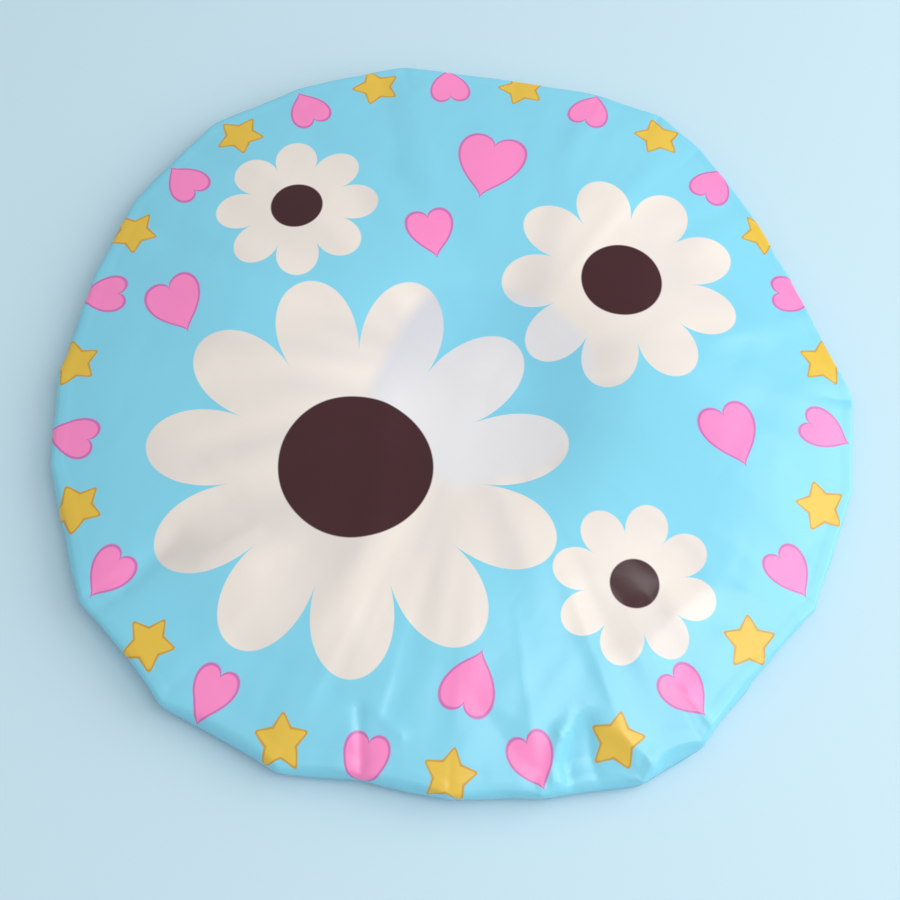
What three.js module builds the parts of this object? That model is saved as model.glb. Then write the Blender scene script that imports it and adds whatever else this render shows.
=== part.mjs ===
// A gathered shower cap lying flat on a table, crown up, with its elastic relaxed.
// One disc of printed film is turned under at the rim, and its edge is gathered into a folded
// binding that holds a flat elastic. Millimetres, +Z up, origin on the table under the middle.
import * as THREE from "three";

// Film
const filmThickness = 0.2;
const layerClearance = 0.4;

// Rim, where the film folds from the crown to the underside
const rimRadius = 140;
const rimHeight = 8.5;
const rimFoldRadius = 3.5;
const rimDartDepth = 1.2;

// Crown, which lies over the gathers and dips into the mouth
const ridgeHeight = 25;
const dipHeight = 20;
const ridgeRadius = 58;

// Gathers on the underside
const gatherHeight = 9.5;
const gatherPeakRadius = 76;
const seamGatherHeight = 3.6;

// Mouth: the binding and the elastic in it
const mouthRadius = 46;
const mouthOffsetX = 12;
const mouthOffsetY = 2;
const bindingWidth = 12.5;
const bindingPuff = 1.8;
const bindingFold = 1.4;
const elasticWidth = 6;
const elasticThickness = 0.8;
const elasticLap = 12;
const lapGap = 0.2;

// Colours, taken as they look in daylight
const filmBlue = 0x74c8e0;
const elasticWhite = 0xf2f2ee;

// Corners of the rim: bearing in degrees, anticlockwise from +X, and radius as a share of rimRadius.
// The film is stiff, so the rim runs nearly straight from each corner to the next.
const rimCornerShares = [
  [0, 1.015], [16, 0.955], [32, 0.962], [48, 1.008], [56, 1.033],
  [66, 1.018], [79, 0.994], [97, 1.03], [114, 1.037], [128, 1.055],
  [145, 1.036], [160, 1.003], [176, 1.01], [190, 1.021], [211, 1.047],
  [229, 1.047], [247, 1.028], [258, 0.987], [270, 1.012], [282, 1.03],
  [295, 1.075], [304, 1.069], [318, 1.022], [328, 1.036], [346, 1.022],
];

// Where the stations lie between one corner and the next, and how high the film stands there as a
// share of a gather: a crest at the corner and a flat valley half way.
const stationShares = [0, 0.2, 0.4, 0.6, 0.8];
const crestShares = [1, 0.45, 0, 0, 0.45];

// How far out the crown stays round, and where the darts at the rim's corners begin.
const roundCrownShare = 0.4;
const dartStartShare = 0.7;

// The binding's fold as a quarter round: shares of its depth and of its height.
const foldRoundShares = [0.3, 0.72];

const lerp = THREE.MathUtils.lerp;
const smooth = THREE.MathUtils.smoothstep;
const radians = THREE.MathUtils.degToRad;
const cornerCount = rimCornerShares.length;
const stationsPerGather = stationShares.length;
const stationCount = cornerCount * stationsPerGather;

// One station: a place round the cap, with its rim point and how it lies in its gather.
function makeStation(index) {
  const corner = Math.floor(index / stationsPerGather);
  const step = index % stationsPerGather;
  const [bearing, share] = rimCornerShares[corner];
  const [nextBearing, nextShare] = rimCornerShares[(corner + 1) % cornerCount];
  const from = polar(share * rimRadius, radians(bearing));
  const to = polar(nextShare * rimRadius, radians(nextBearing));
  const rim = from.lerp(to, stationShares[step]);
  const turn = (2 * Math.PI * (corner + stationShares[step])) / cornerCount;
  const rimBearing = Math.atan2(rim.y, rim.x);
  return {
    radius: rim.length(),
    bearing: rimBearing,
    hemBearing: turn,
    drift: Math.atan2(Math.sin(turn - rimBearing), Math.cos(turn - rimBearing)),
    crest: crestShares[step],
  };
}

function polar(radius, angle) {
  return new THREE.Vector3(radius * Math.cos(angle), radius * Math.sin(angle), 0);
}

const stations = Array.from({ length: stationCount }, (_, index) => makeStation(index));
const cornerStations = stations.filter((_, index) => index % stationsPerGather === 0);

// A point of the crown. share runs from 0 at the middle of the dip to 1 at the rim.
function crownPoint(station, share) {
  const evenRadius = rimRadius - rimFoldRadius;
  const cornerRadius = station.radius - rimFoldRadius;
  const radius = share * lerp(evenRadius, cornerRadius, smooth(share, roundCrownShare, 1));
  const point = polar(radius, station.bearing);
  point.x += mouthOffsetX * (1 - share);
  point.y += mouthOffsetY * (1 - share);
  point.z = crownHeight(share) - rimDartDepth * station.crest * smooth(share, dartStartShare, 1);
  return point;
}

function crownHeight(share) {
  const ridgeShare = ridgeRadius / rimRadius;
  const edgeHeight = rimHeight + rimFoldRadius;
  if (share < ridgeShare) return lerp(dipHeight, ridgeHeight, smooth(share, 0, ridgeShare));
  const fall = (share - ridgeShare) / (1 - ridgeShare);
  return lerp(ridgeHeight, edgeHeight, fall * fall);
}

// A point of the rim fold. The angle runs from 90 degrees at the crown to -90 at the underside.
function rimPoint(station, angle) {
  const fold = polar(station.radius - rimFoldRadius * (1 - Math.cos(angle)), station.bearing);
  fold.z = rimHeight + rimFoldRadius * Math.sin(angle);
  if (angle > 0) fold.z -= rimDartDepth * station.crest * Math.sin(angle);
  return fold;
}

// Height of the binding's middle plane, from which the elastic and both legs are placed.
const elasticStack = 2 * elasticThickness + lapGap;
const bindingHalfGap = elasticStack / 2 + layerClearance + filmThickness;
const bindingMiddle = bindingHalfGap + bindingPuff;
const elasticReach = filmThickness + bindingFold;
const seamReach = elasticReach + elasticWidth + layerClearance;
const seamAllowance = bindingWidth - seamReach;

// Height of the film's middle along the seam, where it is gathered between the binding's legs.
function seamHeight(station) {
  return bindingMiddle + seamGatherHeight * (station.crest - 0.5);
}

// A point of the film's outer face on the underside, at a distance from the middle of the mouth.
function undersidePoint(station, radius) {
  const hemRadius = mouthRadius + bindingWidth;
  const innerRim = rimRadius - rimFoldRadius;
  const inward = THREE.MathUtils.clamp((innerRim - radius) / (innerRim - hemRadius), 0, 1);
  const cornerShare = smooth(1 - inward, 0, 1);
  const spread = radius * lerp(1, (station.radius - rimFoldRadius) / innerRim, cornerShare);
  const point = polar(spread, station.bearing + station.drift * inward);
  point.x += mouthOffsetX * inward;
  point.y += mouthOffsetY * inward;
  point.z = undersideHeight(station, radius, hemRadius, innerRim);
  return point;
}

function undersideHeight(station, radius, hemRadius, innerRim) {
  const seam = seamHeight(station) - filmThickness / 2;
  const open = gatherHeight * station.crest;
  const lifted = rimHeight - rimFoldRadius;
  if (radius < gatherPeakRadius) return lerp(seam, open, smooth(radius, hemRadius, gatherPeakRadius));
  const out = (radius - gatherPeakRadius) / (innerRim - gatherPeakRadius);
  return lerp(open, lifted, out * out);
}

// A point round the mouth, reach outwards from the mouth's edge.
function hemPoint(station, reach, height) {
  const point = polar(mouthRadius + reach, station.hemBearing);
  point.x += mouthOffsetX;
  point.y += mouthOffsetY;
  point.z = height;
  return point;
}

// Joins a ring of points to the next with triangles. One ring may have a whole number of times
// the other's points, or be a single point.
function bridge(triangles, first, second) {
  const count = Math.max(first.length, second.length);
  const at = (ring, index) => ring[Math.floor((index * ring.length) / count) % ring.length];
  for (let index = 0; index < count; index++) {
    const corners = [at(first, index), at(second, index), at(second, index + 1), at(first, index + 1)];
    const [a, b, c, d] = corners;
    if (b !== c) triangles.push(a, b, c);
    if (a !== d) triangles.push(a, c, d);
  }
}

// The surface through a list of rings, each joined to the next.
function surfaceOf(rings) {
  const triangles = [];
  const numbered = numberPoints(rings);
  for (let index = 1; index < numbered.length; index++) {
    bridge(triangles, numbered[index - 1], numbered[index]);
  }
  const geometry = new THREE.BufferGeometry().setFromPoints(rings.flat()).setIndex(triangles);
  geometry.computeVertexNormals();
  return geometry;
}

function numberPoints(rings) {
  let next = 0;
  return rings.map((ring) => ring.map(() => next++));
}

// A sheet's rings give its outer face. The inner face is a copy set in by the thickness, with the
// same triangles, so that the two never cross, and a wall closes each cut edge.
function thickSheet(rings, thickness) {
  const outer = surfaceOf(rings);
  const normals = outer.getAttribute("normal");
  const points = rings.flat();
  const innerPoints = points.map((point, index) => {
    const normal = new THREE.Vector3().fromBufferAttribute(normals, index);
    return point.clone().addScaledVector(normal, -thickness);
  });
  const triangles = Array.from(outer.index.array);
  const inward = (index) => index + points.length;
  for (let index = 0; index < outer.index.count; index += 3) {
    const [a, b, c] = outer.index.array.slice(index, index + 3);
    triangles.push(inward(c), inward(b), inward(a));
  }
  const numbered = numberPoints(rings);
  const first = numbered[0];
  const last = numbered[numbered.length - 1];
  if (first.length > 1) bridge(triangles, first.map(inward), first);
  if (last.length > 1) bridge(triangles, last, last.map(inward));
  return new THREE.BufferGeometry().setFromPoints([...points, ...innerPoints]).setIndex(triangles);
}

// The film disc: crown, rim fold and gathered underside, to its cut edge inside the binding.
function filmDisc() {
  const plainShares = [0.13, 0.27, 0.36, 0.415, 0.48, 0.6];
  const facetedShares = [0.74, 0.88, 0.96];
  const foldAngles = [90, 40, -10, -60, -90].map(radians);
  const undersideShares = [0.9, 0.74, 0.55, 0.36, 0.24, 0.1, 0];
  const middle = crownPoint(stations[0], 0);
  const rings = [[middle]];
  for (const share of plainShares) rings.push(cornerStations.map((s) => crownPoint(s, share)));
  for (const share of facetedShares) rings.push(stations.map((s) => crownPoint(s, share)));
  for (const angle of foldAngles) rings.push(stations.map((s) => rimPoint(s, angle)));
  const hemRadius = mouthRadius + bindingWidth;
  const innerRim = rimRadius - rimFoldRadius;
  for (const share of undersideShares) {
    const radius = lerp(hemRadius, innerRim, share);
    rings.push(stations.map((s) => undersidePoint(s, radius)));
  }
  rings.push(stations.map((s) => hemPoint(s, seamReach, seamHeight(s) - filmThickness / 2)));
  return thickSheet(rings, filmThickness);
}

// The binding: a strip of film folded round the elastic, its two legs gripping the disc's edge.
// Each gather puffs one leg out, and the lower leg's valleys lie flat on the table.
function hemBinding() {
  const legGap = filmThickness / 2 + layerClearance + filmThickness;
  const [foldDepthShare, foldHeightShare] = foldRoundShares;
  const bellyEnd = elasticReach + elasticWidth;
  const lowerBelly = (s) => bindingMiddle - bindingHalfGap - bindingPuff * (1 - s.crest);
  const upperBelly = (s) => bindingMiddle + bindingHalfGap + bindingPuff * s.crest;
  const profile = [
    [bindingWidth, (s) => seamHeight(s) - legGap],
    [seamReach + seamAllowance / 4, (s) => seamHeight(s) - legGap],
    [bellyEnd, lowerBelly],
    [bindingFold, lowerBelly],
    [bindingFold * foldDepthShare, (s) => lerp(bindingMiddle, lowerBelly(s), foldHeightShare)],
    [0, () => bindingMiddle],
    [bindingFold * foldDepthShare, (s) => lerp(bindingMiddle, upperBelly(s), foldHeightShare)],
    [bindingFold, upperBelly],
    [bellyEnd, upperBelly],
    [seamReach + seamAllowance / 4, (s) => seamHeight(s) + legGap],
    [bindingWidth, (s) => seamHeight(s) + legGap],
  ];
  const rings = profile.map(([reach, height]) => stations.map((s) => hemPoint(s, reach, height(s))));
  return thickSheet(rings, filmThickness);
}

// The elastic: one flat strip bent to a loop, its last stretch lapped over its start.
function elasticLoop() {
  const inner = mouthRadius + elasticReach;
  const outer = inner + elasticWidth;
  const middle = (inner + outer) / 2;
  const turn = 2 * Math.PI + elasticLap / middle;
  const climb = elasticThickness + lapGap;
  const sectionCount = 96;
  const sections = [];
  for (let index = 0; index <= sectionCount; index++) {
    const angle = (turn * index) / sectionCount;
    const height = bindingMiddle + (climb * (angle - turn / 2)) / (2 * Math.PI);
    const low = height - elasticThickness / 2;
    const high = height + elasticThickness / 2;
    const corners = [[inner, low], [outer, low], [outer, high], [inner, high]];
    sections.push(corners.map(([radius, z]) => {
      const point = polar(radius, angle);
      return point.add(new THREE.Vector3(mouthOffsetX, mouthOffsetY, z));
    }));
  }
  const centreOf = (ring) => ring.reduce((sum, p) => sum.add(p), new THREE.Vector3()).divideScalar(ring.length);
  return surfaceOf([[centreOf(sections[0])], ...sections, [centreOf(sections[sectionCount])]]);
}

function piece(name, geometry, colour, roughness) {
  const material = new THREE.MeshStandardMaterial({ color: colour, roughness, metalness: 0 });
  const mesh = new THREE.Mesh(geometry, material);
  mesh.name = name;
  return mesh;
}

const outline = new THREE.Box3().setFromPoints(stations.map((s) => polar(s.radius, s.bearing)));
const cap = new THREE.Group();
cap.position.set(-(outline.min.x + outline.max.x) / 2, -(outline.min.y + outline.max.y) / 2, 0);
cap.add(piece("film_disc", filmDisc(), filmBlue, 0.35));
cap.add(piece("hem_binding", hemBinding(), filmBlue, 0.4));
cap.add(piece("elastic_loop", elasticLoop(), elasticWhite, 0.85));

export default cap;
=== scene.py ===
# %% [markdown]
# # A gathered shower cap
# The cap is one disc of thin printed film. Its edge is gathered into a folded binding with a flat
# elastic inside, so that it turns under all round and lies on the table like a flat bun.
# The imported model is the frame: it fixes where everything is, and each piece made here stands in
# the place of one of its nodes, at the same size, with the folds and finish of the real thing.

# %% Load the frame
import math

import bpy
import numpy as np
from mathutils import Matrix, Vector, noise


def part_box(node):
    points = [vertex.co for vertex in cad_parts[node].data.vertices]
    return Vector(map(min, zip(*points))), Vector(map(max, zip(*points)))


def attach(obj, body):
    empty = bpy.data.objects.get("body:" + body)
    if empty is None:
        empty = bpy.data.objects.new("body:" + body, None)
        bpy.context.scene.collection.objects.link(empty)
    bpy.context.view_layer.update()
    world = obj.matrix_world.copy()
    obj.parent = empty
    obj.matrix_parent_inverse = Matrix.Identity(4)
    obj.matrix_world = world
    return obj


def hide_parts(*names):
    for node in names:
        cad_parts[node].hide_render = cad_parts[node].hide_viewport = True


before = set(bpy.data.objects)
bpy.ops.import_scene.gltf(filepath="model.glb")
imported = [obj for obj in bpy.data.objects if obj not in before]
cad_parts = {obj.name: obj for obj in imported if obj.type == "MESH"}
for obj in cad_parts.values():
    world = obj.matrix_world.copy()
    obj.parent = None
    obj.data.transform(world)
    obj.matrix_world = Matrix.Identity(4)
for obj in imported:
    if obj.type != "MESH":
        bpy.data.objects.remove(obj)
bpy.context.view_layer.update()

# %% [markdown]
# The camera comes first, because every later choice is judged through it. The photograph looks
# down steeply at the near edge of the cap, from about arm's length, with little perspective. The
# view could be matched by eye, but the rim's outline gives it more surely: the camera stands 60 cm
# away and 67 degrees up, with a lens a little longer than normal.

# %% Camera
MM = 0.001
CAMERA_DISTANCE = 600 * MM
CAMERA_ELEVATION = math.radians(67)
CAMERA_AIM = Vector((-0.2, -19.1, 9)) * MM
LENS, SENSOR_WIDTH = 68, 36
NEAREST_SEEN = 10 * MM

def place_camera():
    back = Vector((0, -math.cos(CAMERA_ELEVATION), math.sin(CAMERA_ELEVATION)))
    bpy.ops.object.camera_add(location=CAMERA_AIM + CAMERA_DISTANCE * back,
                              rotation=(math.pi / 2 - CAMERA_ELEVATION, 0, 0))
    camera = bpy.context.object
    camera.name = "photo_camera"
    camera.data.lens = LENS
    camera.data.sensor_width = SENSOR_WIDTH
    camera.data.clip_start = NEAREST_SEEN
    bpy.context.scene.camera = camera
    return camera

camera = place_camera()
print("Camera at", [round(value, 3) for value in camera.location])

# %% [markdown]
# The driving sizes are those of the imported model. The rim is a polygon: the film is stiff, so it
# runs nearly straight from one corner of the rim to the next, and each corner is where a deep
# pleat of the underside comes out to the edge. A corner is a bearing in degrees, a share of the
# rim's radius, and how far the dart that runs in from it dips, in millimetres. The model is centred
# on its own box, so the middle of the rim lies a little off the point the corners are drawn from.

# %% Sizes of the cap
FILM = 0.25 * MM
RIM_RADIUS = 140 * MM
RIM_HEIGHT = 8.5 * MM
RIM_FOLD = 3.5 * MM
MOUTH_RADIUS = 46 * MM
BINDING_WIDTH = 12.5 * MM
RIM_CORNERS = [
    (0, 1.029, 0.2), (16, 0.966, 0.1), (32, 0.974, 0.1), (48, 1.018, 0.1), (56, 1.038, 0.2),
    (66, 1.018, 0.1), (79, 0.994, 0.1), (97, 1.03, 0.2), (114, 1.037, 0.1), (128, 1.055, 0.2),
    (145, 1.036, 0.1), (160, 1.003, 0.1), (176, 1.01, 0.1), (190, 1.021, 0.1), (211, 1.047, 0.8),
    (229, 1.047, 0.4), (247, 1.028, 0.3), (258, 0.987, 0.2), (270, 1.012, 0.3), (282, 1.03, 0.2),
    (295, 1.075, 0.1), (304, 1.069, 0.3), (318, 1.026, 0.2), (328, 1.045, 0.2), (346, 1.035, 0.2),
]
RIM_MIDDLE = complex(0.522, 0.723) * MM
low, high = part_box("hem_binding")
MOUTH = complex(low[0] + high[0], low[1] + high[1]) / 2
print("Mouth centre in mm:", [round(MOUTH.real / MM, 2), round(MOUTH.imag / MM, 2)])

# %% [markdown]
# Gathered film could be modelled by hand, fold by fold, or dropped as a cloth. Here it is worked
# out, because the gathers then use up just the film that the disc holds. Every ring of the film has
# the same stations round it, each a fixed line on the flat disc, which runs from its place on the
# rim to its place at the mouth. Places in plan are complex numbers, so that turning one by an angle
# is a single product.

# %% Stations round the rim
GATHERS = len(RIM_CORNERS)
PER_GATHER = 36
STATIONS = GATHERS * PER_GATHER
CORNER_SOFTNESS = 1.6 * MM
turn = np.arange(STATIONS) / STATIONS

def smooth_ring(values, width):
    """Averages a closed ring of values over a bell whose width is given in stations."""
    wave = np.fft.fftfreq(len(values))
    return np.real(np.fft.ifft(np.fft.fft(values) * np.exp(-2 * (math.pi * width * wave) ** 2)))

def step(value, start, end):
    """0 before start, 1 after end and a smooth rise between."""
    share = np.clip((value - start) / (end - start), 0, 1)
    return share * share * (3 - 2 * share)

def mix(first, second, share):
    return first + (second - first) * share

bearings = np.radians([corner[0] for corner in RIM_CORNERS])
corners = RIM_RADIUS * np.array([corner[1] for corner in RIM_CORNERS]) * np.exp(1j * bearings)
corner_index = np.arange(STATIONS) // PER_GATHER
corner_share = np.arange(STATIONS) % PER_GATHER / PER_GATHER
sharp_rim = mix(corners[corner_index], corners[(corner_index + 1) % GATHERS], corner_share)
softness = CORNER_SOFTNESS / (2 * math.pi * RIM_RADIUS / STATIONS)
rim = smooth_ring(sharp_rim.real, softness) + 1j * smooth_ring(sharp_rim.imag, softness)
rim_radius = np.abs(rim)
rim_bearing = np.unwrap(np.angle(rim))
drift = 2 * math.pi * turn - rim_bearing
mouth_offset = MOUTH + RIM_MIDDLE
print("Rim radius in mm:", round(rim_radius.min() / MM, 1), "to", round(rim_radius.max() / MM, 1))

# %% [markdown]
# Film never gathers evenly. These helpers give wandering values round the ring or over the plan,
# the same in every run: they are what makes one pleat fatter, taller or more slanted than the next.
# The noise that they read seldom passes 0.6, so it is scaled up to reach about 1.

# %% Irregularity
NOISE_GAIN = 1.6

def wander(waves, seed):
    """A closed ring of smooth values between about -1 and 1, with so many swings round it."""
    radius = waves / (2 * math.pi)
    angles = [2 * math.pi * t for t in turn]
    spots = [(radius * math.cos(angle), radius * math.sin(angle), seed) for angle in angles]
    return NOISE_GAIN * np.array([noise.noise(Vector(spot)) for spot in spots])

def rough(points, wavelength, seed):
    """Smooth values between about -1 and 1 over the plan, with swings of one wavelength."""
    flat = points.ravel() / wavelength
    values = [noise.noise(Vector((place.real, place.imag, seed))) for place in flat]
    return NOISE_GAIN * np.array(values).reshape(points.shape)

print("Thirty swings round the ring reach", round(float(np.abs(wander(waves=30, seed=3.7)).max()), 2))

# %% [markdown]
# The crown lies over the gathers and sags into the mouth. Thin film holds the marks of every time
# it was folded. They could be sculpted, but as lines on the plan each one can be set against the
# photograph and moved alone: where it starts and ends, how far it stands up and how wide it is, all
# in millimetres. A soft fold is a broad swell, and a crease has steeper sides.

# %% Folds and creases of the crown
SOFT_FOLDS = [
    ((-128, -86), (-93, -56), -1.0, 5), ((-88, -66), (-44, -41), 0.9, 9), ((-66, -24), (-26, -17), 0.5, 6),
    ((-73, -91), (-39, -108), -0.6, 7), ((62, -96), (86, -74), 0.9, 7), ((100, -74), (124, -84), 0.7, 6),
    ((96, 20), (134, 34), 0.5, 7), ((-70, 84), (-98, 104), -0.6, 7), ((-20, 96), (-26, 134), -0.5, 6),
    ((-96, 20), (-136, 26), -0.5, 7), ((40, 92), (56, 120), 0.5, 6), ((66, -76), (78, -98), -0.9, 6),
    ((-24, -2), (-25, -47), 0.9, 4.5), ((-58, 34), (-92, 50), 0.4, 6), ((70, -20), (112, -28), 0.4, 6),
    ((-27, -50), (-34, -80), 0.7, 8), ((84, 64), (104, 76), -0.5, 6), ((30, 60), (60, 78), 0.4, 7),
]
SHARP_CREASES = [
    ((-30, -114), (-29, -134), -0.9, 2.0), ((-24, -116), (-16, -123), 0.5, 1.8),
    ((78, -109), (90, -123), 0.9, 2.0), ((118, -62), (135, -46), -0.4, 2.2),
    ((-126, -75), (-118, -82), 1.8, 1.8), ((-111, -73), (-96, -58), -0.5, 2.2),
    ((-84, -64), (-66, -54), 0.4, 2.2), ((45, -116), (66, -130), 0.4, 2.2),
    ((43, -115), (36, -122), 1.0, 2.0), ((36, -122), (31, -140), 1.0, 2.0),
    ((45, -116), (46, -129), -0.8, 2.0), ((31, -139), (34, -147), 1.2, 1.8),
]
SOFT_EDGE, SHARP_EDGE = 1.5, 1.3

def line_bump(places, start, end, width, edge):
    """1 on the line from start to end, falling to 0 across it and past its ends."""
    start, end, width = complex(*start) * MM, complex(*end) * MM, width * MM
    way = end - start
    along = np.clip(((places - start) / way).real, 0, 1)
    return np.exp(-(np.abs(places - start - along * way) / width) ** edge)

print("Marks drawn in the crown:", len(SOFT_FOLDS) + len(SHARP_CREASES))

# %% [markdown]
# On the near edge the film is tucked into a small three-cornered pocket, which the light picks out
# more than any other mark. Its corners are its inner point and its two ends at the rim. The film
# slopes down from the right side as one flat facet and comes up again along the left in a lip.

# %% Pocket in the near edge
POCKET = ((40.6, -110), (30, -146), (72, -134))
POCKET_SLOPE = 0.32
POCKET_DEEPEST = 4.5 * MM
POCKET_LIP = 3.5 * MM
POCKET_SOFTNESS = 1 * MM

def pocket_depth(places):
    """How far the pocket sinks: a flat facet from its right side, and a lip along its left one."""
    apex, left, right = (complex(*corner) * MM for corner in POCKET)
    from_left = ((places - apex) / (left - apex)).imag * abs(left - apex)
    from_right = -((places - apex) / (right - apex)).imag * abs(right - apex)
    facet = POCKET_SLOPE * (from_right + np.hypot(from_right, POCKET_SOFTNESS)) / 2
    facet = POCKET_DEEPEST * np.tanh(facet / POCKET_DEEPEST)
    return facet * step(from_left, 0, POCKET_LIP)

pocket_middle = np.array([sum(complex(*corner) for corner in POCKET) / len(POCKET) * MM])
print("Pocket sinks at its middle by mm:", round(float(pocket_depth(pocket_middle)[0]) / MM, 1))

# %% [markdown]
# Between its creases, stiff film lies in flat facets that meet at straight edges. Smooth noise
# would make it look like dough, so the facets are planes over triangles: each grid point has a
# height of its own, and the grid is bent so that it doesn't show as one.

# %% Facets
FACET_GRID = 64
GRID_BEND, GRID_BEND_LENGTH = 0.4, 2.6
SECOND_SEED = 0.5

def facets(places, size, seed):
    """Flat facets with straight edges, between -1 and 1: planes over a bent grid of triangles."""
    heights = np.random.default_rng(seed).uniform(-1, 1, (FACET_GRID, FACET_GRID))
    length = GRID_BEND_LENGTH * size
    bend = rough(places, length, seed) + 1j * rough(places, length, seed + SECOND_SEED)
    bent = places + GRID_BEND * size * bend
    across, up = bent.real / size, bent.imag / size
    first, second = across + up / math.sqrt(3), 2 * up / math.sqrt(3)
    column, row = np.floor(first).astype(int), np.floor(second).astype(int)
    right, high = first - column, second - row

    def corner(columns, rows):
        return heights[columns % FACET_GRID, rows % FACET_GRID]

    near, far = corner(column, row), corner(column + 1, row + 1)
    beside, above = corner(column + 1, row), corner(column, row + 1)
    lower = near + right * (beside - near) + high * (above - near)
    upper = far + (1 - right) * (above - far) + (1 - high) * (beside - far)
    return np.where(right + high < 1, lower, upper)

print("Grid points of the facets:", FACET_GRID ** 2)

# %% [markdown]
# The relief of the crown is the sum of all its marks, over a broad swell and facets of two sizes.
# Displacement from a texture would do the same, but the rim needs these heights too, so that its
# fold starts where the crown ends. The near side has been handled most and is crumpled most.

# %% Relief
SWELL, SWELL_LENGTH = 0.5 * MM, 42 * MM
LARGE_FACET, LARGE_FACET_RISE = 26 * MM, 0.85
SMALL_FACET, SMALL_FACET_RISE = 12 * MM, 0.18
CALM_SHARE, NEAR_SHARE = 0.5, 0.25
NEAR_START, NEAR_END = 40 * MM, 100 * MM

def relief(places):
    """How far all the marks together lift the film. The small facets' grid is turned by 90 degrees."""
    busy = CALM_SHARE + NEAR_SHARE * step(-places.imag, NEAR_START, NEAR_END)
    large = LARGE_FACET_RISE * facets(places, LARGE_FACET, seed=3)
    small = SMALL_FACET_RISE * facets(places * 1j, SMALL_FACET, seed=8)
    lift = SWELL * rough(places, SWELL_LENGTH, seed=1.5) + busy * MM * (large + small)
    for marks, edge in ((SOFT_FOLDS, SOFT_EDGE), (SHARP_CREASES, SHARP_EDGE)):
        for start, end, rise, width in marks:
            lift = lift + rise * MM * line_bump(places, start, end, width, edge)
    return lift - pocket_depth(places)

print("Relief along the rim in mm:", round(float(np.ptp(relief(rim))) / MM, 1))

# %% [markdown]
# Round the rim the film turns under, and no two stretches do it alike. On the left it is rolled
# round and full, on the near side it stands as a low wall, and at each corner a dart pulls it
# tight. These values say so for every station: how large the fold is, how high it lies, how far
# the dart dips and how far the wall below it leans in.

# %% Side of the rim
ROLLED_BEARING = math.radians(190)
FOLD_SHARE, NEAR_FOLD_SHARE, ROLLED_FOLD_SHARE = 0.8, 0.5, 0.7
FOLD_SAG_SHARE = 0.75
TIGHT_SHARE, NEAR_TIGHT_SHARE, TIGHT_REACH_SHARE = 0.1, 0.2, 0.1
DART_REACH_SHARE = 0.09
corner_distance = np.minimum(corner_share, 1 - corner_share)
near_side = 0.5 - 0.5 * np.sin(rim_bearing)
rolled_side = (0.5 + 0.5 * np.cos(rim_bearing - ROLLED_BEARING)) ** 2
tightness = TIGHT_SHARE + NEAR_TIGHT_SHARE * near_side ** 2
fold_radius = RIM_FOLD * (FOLD_SHARE + NEAR_FOLD_SHARE * near_side + ROLLED_FOLD_SHARE * rolled_side)
fold_radius = fold_radius * (1 - tightness * np.exp(-corner_distance / TIGHT_REACH_SHARE))
rim_height = RIM_HEIGHT - FOLD_SAG_SHARE * np.maximum(fold_radius - RIM_FOLD, 0)
dips = np.array([corner[2] for corner in RIM_CORNERS] + [RIM_CORNERS[0][2]]) * MM
dart = np.interp(turn * GATHERS, np.arange(GATHERS + 1), dips)
dart = dart * np.exp(-corner_distance / DART_REACH_SHARE)

# How far the wall leans in half way from one corner to the next, by the first corner's number, in
# millimetres. Below 0, it is undercut.
WALL_LEANS = {14: -2.0, 15: 2.4, 16: 1.2, 17: 0.8, 18: 0.8, 19: 5.0, 20: 3.6, 21: 1.6}
leans = np.array([WALL_LEANS.get(index, 0) for index in range(GATHERS)]) * MM
lean = leans[corner_index] * 4 * corner_share * (1 - corner_share)
wall_lean, undercut = np.maximum(lean, 0), np.maximum(-lean, 0)

# How far the wall reaches down from the rim's height: nearly to the table on the near side.
WALL_SHARE, NEAR_WALL_SHARE = 1.1, 0.42
LOWEST_WALL = 1.4 * MM
wall_drop = np.minimum(fold_radius * (WALL_SHARE + NEAR_WALL_SHARE * near_side), rim_height - LOWEST_WALL)
print("Rim fold in mm:", round(fold_radius.min() / MM, 1), "to", round(fold_radius.max() / MM, 1))

# %% [markdown]
# The crown's own form is a smooth profile from the dip, over the raised ring of gathers, down to
# the rim. A grid would be the easy mesh for it, but a grid meets a round rim in steps. So it is
# made of rings, even and round in the middle, which take on the rim's corners further out, where
# they lie closer together so that the creases stay crisp.

# %% Crown
RIDGE_HEIGHT, DIP_HEIGHT = 24.0 * MM, 17.5 * MM
RIDGE_SHARE, DIP_SHARE = 0.43, 0.1
FALL_POWER = 1.7
ROUND_SHARE, RIM_SHARE = 0.4, 0.8
RIPPLE, RIPPLE_RISES, RIPPLE_FALLS = 0.3 * MM, (0.35, 0.6), (0.85, 1)
ripple = RIPPLE * wander(waves=46, seed=5.1)

def crown_profile(share):
    inner = mix(DIP_HEIGHT, RIDGE_HEIGHT, step(share, DIP_SHARE, RIDGE_SHARE))
    fall = np.clip((share - RIDGE_SHARE) / (1 - RIDGE_SHARE), 0, 1)
    outer = mix(RIDGE_HEIGHT, RIM_HEIGHT + RIM_FOLD, fall ** FALL_POWER)
    return np.where(share < RIDGE_SHARE, inner, outer)

def crown_ring(share, every):
    """One ring of the crown, with one point for every so many stations."""
    even, cornered = RIM_RADIUS - RIM_FOLD, rim_radius - fold_radius - wall_lean
    radius = share * mix(even, cornered, step(share, ROUND_SHARE, 1))
    plan = radius * np.exp(1j * rim_bearing) + mouth_offset * (1 - share)
    rim_top = rim_height + fold_radius - dart
    height = crown_profile(share) + (rim_top - RIM_HEIGHT - RIM_FOLD) * step(share, RIM_SHARE, 1)
    height = height + ripple * step(share, *RIPPLE_RISES) * (1 - step(share, *RIPPLE_FALLS))
    return plan[::every], height[::every] + relief(plan[::every] - RIM_MIDDLE)

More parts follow.
